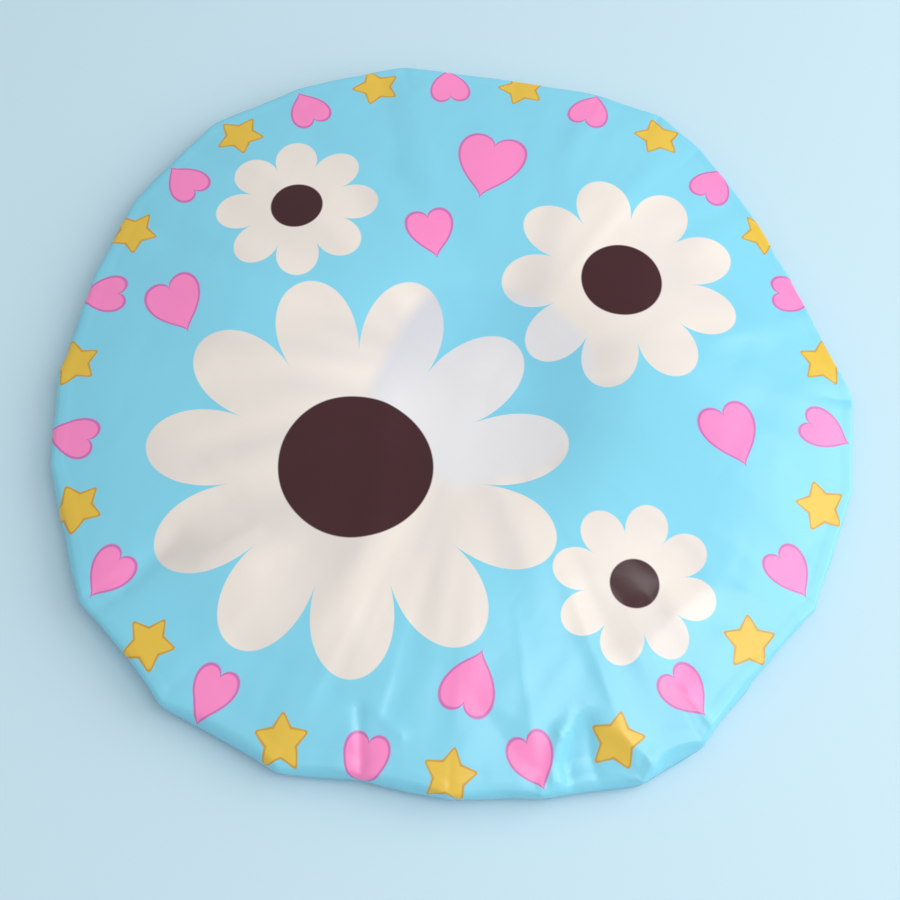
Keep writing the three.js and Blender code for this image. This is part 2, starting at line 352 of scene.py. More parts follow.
# From one share of the radius to another: how many rings there are, and how many stations each
# step along them spans. The last ring is left out, because the rim's fold starts with it.
RING_SPACING = [(0, 0.6, 18, 4), (0.6, 0.92, 30, 2), (0.92, 1, 6, 1)]
middle = np.array([mouth_offset])
crown_rings = [(middle, crown_profile(np.zeros(1)) + relief(middle - RIM_MIDDLE))]
for start, end, count, every in RING_SPACING:
    crown_rings += [crown_ring(share, every) for share in np.linspace(start, end, count + 1)[1:]]
crown_rings.pop()
print("Crown rings:", len(crown_rings))

# %% [markdown]
# At the rim the film is not rolled like dough but creased: a crisp edge, then a side wall that
# stands nearly upright, which the photograph shows as a dark band on the near side. A bevel would
# give a round edge of one size all along. So the fold is a half turn drawn square by a power of
# its sine and cosine, crisper in some places than others, rounder on the left, and crumpled.

# %% Rim fold
FOLD_ANGLES = np.radians([90, 66, 53, 44, 32, 12, -16, -52, -90])
SQUARENESS, ROLLED_ROUNDNESS, UNEVEN_ROUNDNESS = 0.5, 0.24, 0.14
WALL_CRUMPLE, WALL_FACET = 0.55 * MM, 10 * MM
CRUMPLE_SHIFT = 0.08
squareness = SQUARENESS + ROLLED_ROUNDNESS * rolled_side + UNEVEN_ROUNDNESS * wander(waves=28, seed=9.1)
rim_relief = relief(rim - (fold_radius + wall_lean) * np.exp(1j * rim_bearing) - RIM_MIDDLE)

def fold_ring(angle):
    """One ring of the fold, from 90 degrees on top to -90 where the underside starts."""
    out = np.abs(math.cos(angle)) ** squareness
    up = math.copysign(1, angle) * abs(math.sin(angle)) ** np.where(angle > 0, squareness, 1)
    top, bottom = np.maximum(up, 0), 1 - np.clip(up, 0, 1)
    radius = rim_radius - fold_radius * (1 - out) - wall_lean * top - undercut * bottom
    crumple = facets(rim * (1 + CRUMPLE_SHIFT * (1 - up)), WALL_FACET, seed=12)
    radius = radius + WALL_CRUMPLE * math.cos(angle) ** 2 * crumple
    height = rim_height + np.where(up > 0, fold_radius, wall_drop) * up + (rim_relief - dart) * top
    return radius * np.exp(1j * rim_bearing), height

fold_rings = [fold_ring(angle) for angle in FOLD_ANGLES]
print("Fold rings:", len(fold_rings))

# %% [markdown]
# On the underside the same film has to fit into an ever smaller ring, so it stands in pleats. A
# wave of sines would do for a skirt, but here the film is too long for one: it leans over. So the
# cut across a pleat is a meander, a line of fixed length whose slope swings from side to side. Near
# the rim each gather has a large pleat and a small one, further in two alike, at the hem three.

# %% Slope of the pleats
SINGLE_FADES, DOUBLE_FADES, TRIPLE_GROWS = (0.0, 0.4), (0.7, 0.95), (0.6, 0.9)
PLEAT_SQUARENESS = 2.4
PHASE_WANDER, PLUMPNESS_WANDER, SLANT_WANDER = 0.9, 0.35, 0.55
phase = PHASE_WANDER * wander(waves=30, seed=3.7)
plumpness = 1 + PLUMPNESS_WANDER * wander(waves=50, seed=8.2)
slant = SLANT_WANDER * wander(waves=34, seed=12.4)

def slope_wave(inward):
    """The slope of a pleat round one ring, between -1 and 1. inward is 0 at the rim, 1 at the hem."""
    angle = 2 * math.pi * GATHERS * turn
    single = (1 - step(inward, *SINGLE_FADES)) * np.sin(angle)
    double = (1 - step(inward, *DOUBLE_FADES)) * np.sin(2 * angle + phase)
    triple = step(inward, *TRIPLE_GROWS) * np.sin(3 * angle + phase)
    swing = PLEAT_SQUARENESS * plumpness * (single + double + triple)
    return -np.tanh(swing) / math.tanh(PLEAT_SQUARENESS)

print("Pleats at the hem:", 3 * GATHERS)

# %% [markdown]
# How steep the slope is follows from how much film there is for the room. It can't be solved for
# directly, so it is found by halving the range that it can lie in, ring by ring, until the meander
# has just the length of the film.

# %% Meander
STEEPEST, HALVINGS = 1.5, 24

def meander(inward, radius, gather):
    """Sideways shift and height round one ring whose film is so many times as long as its room."""
    wave = slope_wave(inward)
    low_slope, high_slope = 0.0, STEEPEST
    for _ in range(HALVINGS):
        slope = (low_slope + high_slope) / 2
        if 1 / np.cos(slope * wave).mean() < gather:
            low_slope = slope
        else:
            high_slope = slope
    film_step = 2 * math.pi * radius / STATIONS / np.cos(slope * wave).mean()
    shift = np.cumsum(np.cos(slope * wave)) * film_step - 2 * math.pi * radius * turn
    height = np.cumsum(np.sin(slope * wave)) * film_step
    height -= smooth_ring(height - height.mean() - (height[-1] - height[0]) * (turn - 0.5), PER_GATHER)
    height -= (height[-1] - height[0]) * (turn - 0.5)
    return shift - shift.mean(), height - height.mean()

HEM_RADIUS = MOUTH_RADIUS + BINDING_WIDTH
INNER_RIM = RIM_RADIUS - RIM_FOLD
FLAT_RIM = 143.5 * MM
HEM_GATHER = (FLAT_RIM + INNER_RIM - HEM_RADIUS) / HEM_RADIUS
print("Film to room at the hem:", round(HEM_GATHER, 2))
print("Free pleats there would stand mm:", round(float(np.ptp(meander(1, HEM_RADIUS, HEM_GATHER)[1])) / MM))

# %% [markdown]
# Pleats left free would stand far too tall, so they are pressed down to the room under the crown,
# as the crown does. They also slant their own way, and settle softly on the table instead of
# reaching through it. The rings lie closer and have more points where the pleats are finest.

# %% Pleats of the underside
HEM_PLEAT_HEIGHT, FREE_PLEAT_HEIGHT = 6.4 * MM, 9.0 * MM
HEM_MIDDLE = 4.3 * MM
FLOOR, FLOOR_SOFTNESS = 0.2 * MM, 1 * MM
PLEATS_RISE, PLEATS_SINK, HEM_STARTS = (-0.05, 0.45), (0, 0.8), (0.7, 1)
SLANT_STARTS, SLANT_ENDS = (0, 0.3), (0.8, 1)
TALL_PERCENTILE = 90

def pleat_ring(inward, every):
    """One ring of the underside: plan and height, with one point for every so many stations."""
    radius = mix(INNER_RIM, HEM_RADIUS, inward)
    shift, height = meander(inward, radius, (FLAT_RIM + INNER_RIM - radius) / radius)
    room = mix(FREE_PLEAT_HEIGHT, HEM_PLEAT_HEIGHT, step(inward, *HEM_STARTS)) * step(inward, *PLEATS_RISE)
    tallest = np.percentile(np.abs(height), TALL_PERCENTILE) * 2
    height = height * min(1, room / max(tallest, FILM))
    shift = shift + slant * height * step(inward, *SLANT_STARTS) * (1 - step(inward, *SLANT_ENDS))
    height = mix(rim_height - wall_drop, HEM_MIDDLE, step(inward, *PLEATS_SINK)) + height
    settled = FLOOR + FLOOR_SOFTNESS * np.exp((height - FLOOR - FLOOR_SOFTNESS) / FLOOR_SOFTNESS)
    height = np.where(height < FLOOR + FLOOR_SOFTNESS, settled, height)
    rim_share = mix(1, (rim_radius - fold_radius - undercut) / INNER_RIM, step(1 - inward, 0, 1))
    bearing = rim_bearing + drift * inward + shift / radius
    plan = radius * rim_share * np.exp(1j * bearing) + mouth_offset * inward
    return plan[::every], height[::every]

OUTER_SHARE, OUTER_RINGS, INNER_RINGS = 0.3, 7, 14
pleat_rings = [pleat_ring(share, 2) for share in np.linspace(0, OUTER_SHARE, OUTER_RINGS + 1)[1:]]
pleat_rings += [pleat_ring(share, 1) for share in np.linspace(OUTER_SHARE, 1, INNER_RINGS + 1)[1:]]
print("Rings of the underside:", len(pleat_rings))

# %% [markdown]
# The seam grips film and binding in the same pleats. They could be modelled apart and pushed
# together, but layers this thin would cut through each other. So from here to the mouth, places are
# given as a station, a reach outwards from the mouth's edge and a lift off the last ring's pleats
# along their own normal, which is how the layers stack up.

# %% Hem
FILM_END_REACHES = (11 * MM, 9.6 * MM, 8.2 * MM)
hem_plan, hem_height = pleat_rings[-1]
hem_bearing = np.unwrap(np.angle(hem_plan - mouth_offset))
hem_crest = (hem_height - hem_height.min()) / np.ptp(hem_height)
around = np.abs(np.roll(hem_plan, -1) - np.roll(hem_plan, 1))
climb = np.roll(hem_height, -1) - np.roll(hem_height, 1)
run = np.hypot(around, climb)
sideways, upright = -climb / run, around / run

def at_stations(values, spots, whole_turn=0.0):
    """Values of a ring at places between its stations. whole_turn is what one turn adds."""
    ends = np.append(values, values[0] + whole_turn)
    return np.interp(spots % STATIONS, np.arange(STATIONS + 1), ends) + whole_turn * (spots // STATIONS)

def hem_place(spots, reach, lift):
    """Plan and height at stations round the mouth, at one reach and lifted off the pleats."""
    radius = MOUTH_RADIUS + reach
    bearing = at_stations(hem_bearing, spots, 2 * math.pi) + at_stations(sideways, spots) * lift / radius
    height = at_stations(hem_height, spots) + at_stations(upright, spots) * lift
    return radius * np.exp(1j * bearing) + mouth_offset, height

every_station = np.arange(STATIONS)
film_end_rings = [hem_place(every_station, reach, 0) for reach in FILM_END_REACHES]
print("Hem pleats swing", round(float(np.ptp(hem_height)) / MM, 1), "mm")

# %% [markdown]
# A ring of points is joined to the next with faces, and a ring may have half the points of its
# neighbour, or be a single point. Each point also carries its place on the flat disc, as far from
# the middle as the film is long and on its own line, so that the print can wrap round the rim. A
# projection from above would be simpler, but it would smear the print down the side wall.

# %% Sheets from rings
def join(first, second):
    """Faces between two rings of vertex numbers. One may have a whole number of times the other's."""
    faces = []
    count = max(len(first), len(second))
    for i in range(count):
        loop = []
        for ring, index in ((first, i), (second, i), (second, i + 1), (first, i + 1)):
            vertex = ring[index * len(ring) // count % len(ring)]
            if vertex not in loop:
                loop.append(vertex)
        faces.append(loop)
    return faces

def link(name, points, faces):
    """A smooth-shaded object from points and faces, at the origin."""
    mesh = bpy.data.meshes.new(name)
    mesh.from_pydata(points, [], faces)
    mesh.shade_smooth()
    piece = bpy.data.objects.new(name, mesh)
    bpy.context.scene.collection.objects.link(piece)
    return piece

def mark(piece, name, places):
    """Gives each point of a piece a place on its flat pattern, for the material to read."""
    values = np.stack([places.real, places.imag, np.zeros(len(places))], 1)
    made = piece.data.attributes.new(name, "FLOAT_VECTOR", "POINT")
    made.data.foreach_set("vector", values.ravel())

def sheet_of(name, rings, flat_places):
    """A sheet through rings of (plan, height), with its places on the flat pattern."""
    points, numbers, faces = [], [], []
    for plan, height in rings:
        numbers.append(list(range(len(points), len(points) + len(plan))))
        points += [(p.real, p.imag, z) for p, z in zip(plan - RIM_MIDDLE, height)]
    for before, after in zip(numbers, numbers[1:]):
        faces += join(before, after)
    piece = link(name, points, faces)
    mark(piece, "flat_place", np.concatenate(flat_places))
    return piece

print("Points on a full ring:", STATIONS)

# %% [markdown]
# The sheet then gets its thickness from a Solidify modifier, which grows it inwards, so that the
# outside stays where it was drawn. The film's length is added up from ring to ring, which gives
# the size of the flat disc that the cap is cut from.

# %% Thickness and length of film
def select_only(piece):
    bpy.ops.object.select_all(action="DESELECT")
    piece.select_set(True)
    bpy.context.view_layer.objects.active = piece

def give_wall(piece, thickness):
    """Turns a sheet into a closed wall, grown inwards from the face that was modelled."""
    select_only(piece)
    wall = piece.modifiers.new("wall", "SOLIDIFY")
    wall.thickness = thickness
    wall.offset = -1
    bpy.ops.object.modifier_apply(modifier=wall.name)

def ring_steps(rings):
    """The mean length of film between each ring and the next."""
    steps = []
    for (plan, height), (next_plan, next_height) in zip(rings, rings[1:]):
        count = min(len(plan), len(next_plan))
        start, end = plan[::len(plan) // count], next_plan[::len(next_plan) // count]
        drop = height[::len(height) // count] - next_height[::len(next_height) // count]
        along = np.abs(end - start)
        if count > 1:
            along = np.abs(np.abs(end - mouth_offset) - np.abs(start - mouth_offset))
        steps.append(float(np.hypot(along, drop).mean()))
    return steps

print("Film across the rim's fold in mm:", round(sum(ring_steps(fold_rings)) / MM, 1))

# %% [markdown]
# The film disc is now one list of rings, from the point where the crown dips, over the rim, to the
# cut edge inside the binding. The crown is so nearly flat that its plan is its place on the flat
# disc. Past the rim the distances along the film are added up ring by ring.

# %% Film disc
def film_disc():
    rings = crown_rings + fold_rings + pleat_rings + film_end_rings
    flat_places = [plan for plan, height in crown_rings]
    reach = np.abs(flat_places[-1])
    for length in ring_steps(rings)[len(crown_rings) - 1:]:
        reach = reach + length
        every = STATIONS // len(rings[len(flat_places)][0])
        flat_places.append((reach * np.exp(1j * rim_bearing))[::every])
    film = sheet_of("printed_film_disc", rings, flat_places)
    give_wall(film, FILM)
    return film, float(reach.mean())

film, FLAT_RADIUS = film_disc()
print("Flat radius in mm:", round(FLAT_RADIUS / MM, 1), "faces:", len(film.data.polygons))

# %% [markdown]
# The binding is a strip of the same film, unprinted, folded in half round the elastic. Its two legs
# grip the disc's cut edge in the seam and share its pleats. Further in they part round the elastic:
# where the pleats crest the upper leg puffs out, where they dip the lower one does, and the fold
# between them runs in small scallops. One strip of rings is lofted from the lower cut edge, round
# the fold, to the upper one, so that it stays one piece as the real strip is.

# %% Rings of the binding
LEG_LIFT = 0.45 * MM
GRIP_START, GRIP_END = 7.6 * MM, 9.6 * MM
BELLY_GAP = 1.3 * MM
UPPER_PUFF, LOWER_PUFF = 3.6 * MM, 2.8 * MM
SCALLOP = 1.6 * MM
NOSE = 2.4 * MM
CUT_WANDER = 0.3 * MM

def binding_ring(side, reach):
    """One ring of the binding. side is 1 for the upper leg and -1 for the lower one."""
    grip = step(reach, GRIP_START, GRIP_END)
    nose = math.sqrt(1 - (1 - min(reach / NOSE, 1)) ** 2)
    scallop = SCALLOP * (2 * hem_crest - 1)
    puff = UPPER_PUFF * hem_crest if side > 0 else LOWER_PUFF * (1 - hem_crest)
    puff = puff + BELLY_GAP - side * scallop
    uneven = CUT_WANDER * wander(waves=40, seed=6 + side) if reach == BINDING_WIDTH else 0
    plan, leg = hem_place(every_station, reach + uneven, side * LEG_LIFT * grip)
    return plan, mix(HEM_MIDDLE + scallop + side * nose * puff, leg, grip)

def ring_length(ring):
    plan, height = ring
    return float(np.hypot(np.abs(np.roll(plan, -1) - plan), np.roll(height, -1) - height).sum())

print("Film round the binding's fold in mm:", round(ring_length(binding_ring(1, 0)) / MM))

# %% [markdown]
# Each ring is a reach from the mouth's edge, closer together towards the fold. The strip is sewn on
# with the elastic stretched, so its cut length is far more than the relaxed mouth is round.

# %% Binding
LEG_REACHES = [12.5, 11.4, 10.3, 9.4, 8.6, 7.8, 6.4, 4.8, 3.3, 2.2, 1.2, 0.5, 0.12]

def hem_binding():
    reaches = [reach * MM for reach in LEG_REACHES]
    rings = [binding_ring(-1, reach) for reach in reaches] + [binding_ring(1, 0)]
    rings += [binding_ring(1, reach) for reach in reversed(reaches)]
    lengths = [ring_length(ring) for ring in rings]
    across = np.cumsum([0] + ring_steps(rings))
    flat_places = [lengths[0] * turn + 1j * place for place in across]
    binding = sheet_of("folded_binding_strip", rings, flat_places)
    give_wall(binding, FILM)
    print("Binding runs from", round(min(lengths) / MM), "to", round(max(lengths) / MM), "mm of film")
    return binding, float(across[-1])

binding, BINDING_CUT = hem_binding()

# %% [markdown]
# The elastic and the threads are long pieces of one section. A curve with a bevel object could
# sweep them, but it wouldn't carry how many millimetres along and round it each point lies, which
# the weave needs. So one helper skins sections into a closed piece, joined end to end or capped,
# and lets Blender turn its faces out.

# %% Skin over sections
def skin(name, sections, closed):
    """A closed skin over sections, each a ring of points. The ends meet if closed, or are capped."""
    across = len(sections[0])
    count = len(sections) * across
    points = [tuple(point) for section in sections for point in section]
    faces = []
    for start in range(0, count if closed else count - across, across):
        for k in range(across):
            here, beside = start + k, start + (k + 1) % across
            faces.append((here, beside, (beside + across) % count, (here + across) % count))
    if not closed:
        faces += [tuple(range(across))[::-1], tuple(range(count - across, count))]
    piece = link(name, points, faces)
    select_only(piece)
    bpy.ops.object.mode_set(mode="EDIT")
    bpy.ops.mesh.select_all(action="SELECT")
    bpy.ops.mesh.normals_make_consistent(inside=False)
    bpy.ops.object.mode_set(mode="OBJECT")
    return piece

print("Made the helper that skins sections into a closed piece")

# %% [markdown]
# The elastic is a flat braid of fibre round a few rubber cores, which show as ribs along it. It is
# bent to a loop and its last stretch is lapped over its start, so the loop climbs by its own
# thickness in one turn. It is swept as a ribbed section round the mouth.

# %% Elastic
ELASTIC_WIDTH = 6 * MM
ELASTIC_THICKNESS = 0.8 * MM
ELASTIC_REACH = 1.6 * MM
ELASTIC_MIDDLE = MOUTH_RADIUS + ELASTIC_REACH + ELASTIC_WIDTH / 2
ELASTIC_LAP, LAP_GAP = 12 * MM, 0.2 * MM
ELASTIC_TURN = 2 * math.pi + ELASTIC_LAP / ELASTIC_MIDDLE
ELASTIC_STEPS = 240
ELASTIC_RIBS, POINTS_PER_RIB = 7, 8
RIB_HEIGHT = 0.07 * MM
EDGE_POWER = 10

def elastic_height(angle):
    """Middle of the strip at an angle along it, which runs on past a full turn into the lap."""
    return HEM_MIDDLE + (ELASTIC_THICKNESS + LAP_GAP) * (angle - ELASTIC_TURN / 2) / (2 * math.pi)

def elastic_band():
    side = np.linspace(-1, 1, POINTS_PER_RIB * ELASTIC_RIBS + 1)
    rounded = (1 - np.abs(side) ** EDGE_POWER) ** 0.5
    grooves = RIB_HEIGHT * (0.5 + 0.5 * np.cos(math.pi * ELASTIC_RIBS * (side + 1)))
    half = (ELASTIC_THICKNESS / 2 - grooves) * rounded
    radius = np.append(side, side[-2:0:-1]) * ELASTIC_WIDTH / 2 + ELASTIC_MIDDLE
    lift = np.append(half, -half[-2:0:-1])
    sections, places = [], []
    for angle in np.linspace(0, ELASTIC_TURN, ELASTIC_STEPS + 1):
        plan = radius * np.exp(1j * angle) + mouth_offset - RIM_MIDDLE
        sections.append(np.stack([plan.real, plan.imag, elastic_height(angle) + lift], 1))
        places.append(angle * MOUTH_RADIUS + 1j * radius)
    band = skin("braided_elastic_band", sections, closed=False)
    mark(band, "flat_place", np.concatenate(places))
    return band

elastic = elastic_band()
print("Elastic along its middle in mm:", round(2 * math.pi * ELASTIC_MIDDLE / MM))

# %% [markdown]
# A thread is a thin tube along worked out points. At each point the tube's section stands square
# to the way the thread runs, with one of its axes turned away from the mouth's middle, so that the
# tube never twists. Six sides are enough for a thread this thin, because hundreds of stitches lie
# side by side.

# %% Thread along points
THREAD_RADIUS = 0.15 * MM
THREAD_SIDES = 6

def thread(name, path, closed):
    """A tube along points given as an array of x, y and z."""
    if closed:
        way = np.roll(path, -1, 0) - np.roll(path, 1, 0)
    else:
        way = np.gradient(path, axis=0)
    way = way / np.linalg.norm(way, axis=1, keepdims=True)
    outward = path * (1, 1, 0) - np.array([MOUTH.real, MOUTH.imag, 0])
    outward = outward - (outward * way).sum(1, keepdims=True) * way
    outward = outward / np.linalg.norm(outward, axis=1, keepdims=True)
    beside = np.cross(way, outward)
    along = np.append(0, np.cumsum(np.linalg.norm(np.diff(path, axis=0), axis=1)))
    angles = np.arange(THREAD_SIDES) * 2 * math.pi / THREAD_SIDES
    cosines, sines = np.cos(angles), np.sin(angles)
    sections = [place + THREAD_RADIUS * (np.outer(cosines, out) + np.outer(sines, aside))
                for place, out, aside in zip(path, outward, beside)]
    piece = skin(name, sections, closed)
    mark(piece, "flat_place", (along[:, None] + 1j * angles[None, :] * THREAD_RADIUS).ravel())
    return piece

print("Thread thickness in mm:", 2 * THREAD_RADIUS / MM)

# %% [markdown]
# A lockstitch is two threads: one runs over the top and one underneath, and they hook into each
# other in every needle hole. A line of short dashes would pass for it from afar, but the hem is
# looked at from close by. So each thread follows the pleats and dives at the holes.

# %% Seam threads
SEAM_REACH = 10.3 * MM
STITCH_STATIONS = 2
POINTS_PER_STATION = 2
STITCH_ROUNDNESS = 0.5
THREAD_CLEARANCE = 0.02 * MM

def seam_thread(name, side):
    """One thread of the seam. side is 1 for the one on top and -1 for the one below."""
    spots = np.arange(STATIONS * POINTS_PER_STATION) / POINTS_PER_STATION
    bridge = np.abs(np.sin(math.pi * spots / STITCH_STATIONS)) ** STITCH_ROUNDNESS
    lift = side * (THREAD_RADIUS + (LEG_LIFT + THREAD_CLEARANCE) * bridge)
    plan, height = hem_place(spots, SEAM_REACH, lift)
    plan = plan - RIM_MIDDLE
    return thread(name, np.stack([plan.real, plan.imag, height], 1), closed=True)

upper_thread = seam_thread("upper_seam_thread", 1)
lower_thread = seam_thread("lower_seam_thread", -1)
print("Stitches in the seam:", STATIONS // STITCH_STATIONS)

# %% [markdown]
# The ends of the elastic are held by a tack: a few turns of thread over and under both layers,
# each a little further along than the last. A turn is a circle stretched until it is nearly a
# rectangle, so that the thread lies flat on the elastic and turns sharply at its edges.

# %% Tack in the lap
TACK_TURNS, POINTS_PER_TURN = 7, 24
TACK_STEP = 0.9 * MM
TACK_HALF_WIDTH = 2.1 * MM
TACK_START = 3 * MM
TACK_STRETCH = 1.25

def tack_thread():
    angle = np.linspace(0, 2 * math.pi * TACK_TURNS, TACK_TURNS * POINTS_PER_TURN + 1)
    across = TACK_HALF_WIDTH * np.clip(TACK_STRETCH * np.cos(angle), -1, 1)
    lower, upper = elastic_height(0), elastic_height(2 * math.pi)
    half = (upper - lower + ELASTIC_THICKNESS) / 2 + THREAD_RADIUS
    height = (lower + upper) / 2 + half * np.clip(TACK_STRETCH * np.sin(angle), -1, 1)
    along = TACK_START + TACK_STEP * angle / (2 * math.pi)
    plan = (ELASTIC_MIDDLE + across) * np.exp(1j * along / ELASTIC_MIDDLE) + mouth_offset - RIM_MIDDLE
    return thread("lap_tack_thread", np.stack([plan.real, plan.imag, height], 1), closed=False)

tack = tack_thread()
print("Tack faces:", len(tack.data.polygons))

# %% [markdown]
# The parts are made; now their finishes. Colours are written as they look in daylight, in the hex
# values that any paint program shows, and one function turns them into the linear values that
# nodes take. One more function adds a node, sets it and links it, so that a material reads as a
# list of steps.

# %% Material helpers
MATH, VECTOR, MIX = "ShaderNodeMath", "ShaderNodeVectorMath", "ShaderNodeMix"
SEPARATE, MAP_RANGE, NOISE = "ShaderNodeSeparateXYZ", "ShaderNodeMapRange", "ShaderNodeTexNoise"
SHADER, OUTPUT = "ShaderNodeBsdfPrincipled", "ShaderNodeOutputMaterial"

def hex_colour(code):
    """An sRGB hex colour as the linear values that Blender's nodes take."""
    channels = [int(code[i:i + 2], 16) / 255 for i in (1, 3, 5)]
    linear = [c / 12.92 if c <= 0.04045 else ((c + 0.055) / 1.055) ** 2.4 for c in channels]
    return (*linear, 1)

def new_material(name):
    material = bpy.data.materials.new(name)
    material.use_nodes = True
    material.node_tree.nodes.clear()
    return material, material.node_tree

def add(tree, kind, inputs, output=0, **settings):
    """Adds a node, sets it up, gives each input a value or a link, and returns one output."""
    node = tree.nodes.new(kind)
    for key, value in settings.items():
        setattr(node, key, value)
    for key, value in inputs.items():
        if isinstance(value, bpy.types.NodeSocket):
            tree.links.new(value, node.inputs[key])
        else:
            node.inputs[key].default_value = value
    return node.outputs[output] if len(node.outputs) else node

print("Middle grey in linear values:", [round(value, 3) for value in hex_colour("#808080")])

# %% [markdown]
# The print could be an image, but one drawn by rules stays sharp at any size and can be changed in
# a line. A motif is a rule about a place on the flat disc: how far it lies from a centre, and in
# which direction. A daisy's edge swings with the angle, so it has petals. Each edge is blurred over
# a third of a millimetre, as ink bleeds on film.

# %% Daisy
INK_BLEED = 0.3 * MM
PETAL_LENGTH = 0.42
PETAL_ROUNDNESS = 0.5

def ink_edge(tree, distance, bleed):
    """1 where a distance is negative and 0 where it is positive, with a soft edge between."""
    inputs = {0: distance, 1: -bleed, 2: bleed, 3: 1, 4: 0}
    return add(tree, MAP_RANGE, inputs, interpolation_type="SMOOTHSTEP")

def own_frame(tree, place, centre, size, turned):
    """A motif's own coordinates, in which it is one unit in radius."""
    inputs = {0: place, 1: (*centre, 0), 2: (0, 0, math.radians(turned)), 3: (size, size, size)}
    return add(tree, "ShaderNodeMapping", inputs, vector_type="TEXTURE")

def daisy(tree, place, petals):
    """Signed distance to a daisy's edge in its own coordinates, and the radius there."""
    x, y = [add(tree, SEPARATE, {0: place}, axis) for axis in (0, 1)]
    radius = add(tree, VECTOR, {0: place}, "Value", operation="LENGTH")
    angle = add(tree, MATH, {0: y, 1: x}, operation="ARCTAN2")
    half_angle = add(tree, MATH, {0: angle, 1: petals / 2}, operation="MULTIPLY")
    swing = add(tree, MATH, {0: half_angle}, operation="COSINE")
    swing = add(tree, MATH, {0: swing}, operation="ABSOLUTE")
    full = add(tree, MATH, {0: swing, 1: PETAL_ROUNDNESS}, operation="POWER")
    edge = add(tree, MATH, {0: full, 1: PETAL_LENGTH, 2: 1 - PETAL_LENGTH}, operation="MULTIPLY_ADD")
    return add(tree, MATH, {0: radius, 1: edge}, operation="SUBTRACT"), radius

print("Ink bleeds by mm:", INK_BLEED / MM)

# %% [markdown]
# A heart is a circle whose middle is pushed down by the root of the distance to its axis. A star's
# edge is a straight line from tip to notch, repeated ten times, with its tips a little rounded.

# %% Heart and star
HEART_LIFT = 0.78
STAR_POINTS = 5
STAR_NOTCH = 0.52
STAR_TIP, STAR_ROUNDING = 0.92, 0.12

def heart(tree, place):
    """Negative inside a heart that is about two units wide, and positive outside."""
    x, y = [add(tree, SEPARATE, {0: place}, axis) for axis in (0, 1)]
    aside = add(tree, MATH, {0: x}, operation="ABSOLUTE")
    root = add(tree, MATH, {0: aside, 1: 0.5}, operation="POWER")
    raised = add(tree, MATH, {0: root, 1: -HEART_LIFT, 2: y}, operation="MULTIPLY_ADD")
    square = add(tree, MATH, {0: raised, 1: raised}, operation="MULTIPLY")
    squares = add(tree, MATH, {0: x, 1: x, 2: square}, operation="MULTIPLY_ADD")
    radius = add(tree, MATH, {0: squares, 1: 0.5}, operation="POWER")
    return add(tree, MATH, {0: radius, 1: 1.0}, operation="SUBTRACT")

def star(tree, place):
    """Signed distance to the edge of a five-pointed star with its tips one unit out."""
    x, y = [add(tree, SEPARATE, {0: place}, axis) for axis in (0, 1)]
    radius = add(tree, VECTOR, {0: place}, "Value", operation="LENGTH")
    angle = add(tree, MATH, {0: x, 1: y}, operation="ARCTAN2")
    half_point = math.pi / STAR_POINTS
    folded = add(tree, MATH, {0: angle, 1: 2 * half_point}, operation="PINGPONG")
    from_tip = add(tree, MATH, {0: folded, 1: half_point}, operation="PINGPONG")
    across = STAR_NOTCH * math.sin(half_point)
    lean = 1 - STAR_NOTCH * math.cos(half_point)
    cosine = add(tree, MATH, {0: from_tip}, operation="COSINE")
    reach = add(tree, MATH, {0: cosine, 1: across}, operation="MULTIPLY")
    sine = add(tree, MATH, {0: from_tip}, operation="SINE")
    slope = add(tree, MATH, {0: sine, 1: lean, 2: reach}, operation="MULTIPLY_ADD")
    edge = add(tree, MATH, {0: across, 1: slope}, operation="DIVIDE")
    rounded = add(tree, MATH, {0: edge, 1: STAR_TIP, 2: STAR_ROUNDING}, operation="SMOOTH_MIN")
    return add(tree, MATH, {0: radius, 1: rounded}, operation="SUBTRACT")

print("Stars have", STAR_POINTS, "points")

# %% [markdown]
# The inks are flat colours: a sky blue ground, pale daisies with dark brown hearts, pink and yellow
# motifs with a thin darker line round them. They are laid one over another, as in printing, each
# through a mask that is 1 where the ink goes.

# %% Inks
# Over the mouth, at its upper left edge and in streaks over the pleats, the blue and pale inks are painted
# darker: painted shade, not ink.
SKY, SKY_SHADED_OVER_MOUTH, BROWN = "#82D2EA", "#7FCEE8", "#3C171D"
MILK_OVER_PLEATS, MILK_IN_SHADE = "#ECE4DB", "#DDD6D1"
MILK_SHADED_OVER_MOUTH, MILK_SHADED_AT_EDGE = "#E0E0E2", "#CFD0D8"
PINK, PLUM, YELLOW, OCHRE = "#F98AC6", "#C96FB4", "#E4BE44", "#C79A3A"

def painted(tree, colour, mask, ink):
    """Prints one ink, a hex colour or a socket, over what is there, where its mask is 1."""
    ink = hex_colour(ink) if isinstance(ink, str) else ink
    return add(tree, MIX, {0: mask, 6: colour, 7: ink}, 2, data_type="RGBA")

print("Inks:", SKY, MILK_OVER_PLEATS, BROWN, PINK, YELLOW)

# %% [markdown]
# Film this thin is not quite opaque. Where one layer spans the mouth, the shade in the mouth shows
# through, so the pale inks are painted cooler and greyer there and the blue ground a little darker,
# as painted shade, and the pale inks darker still towards the mouth's upper left edge. Over the
# gathers the layers below make them warmer, with faint streaks of painted shade that run outwards
# like the pleats. A see-through film would show this by itself, but its renders would be slow and
# grainy. So the two pale inks are each mixed from the distance to the mouth, whose edge is made to
# wander a little.

# %% Pale inks with painted shade
STREAKS = 4
EDGE_WANDER = 0.4
EDGE_SHADE_WAY = (-0.5, 0.85, 0)

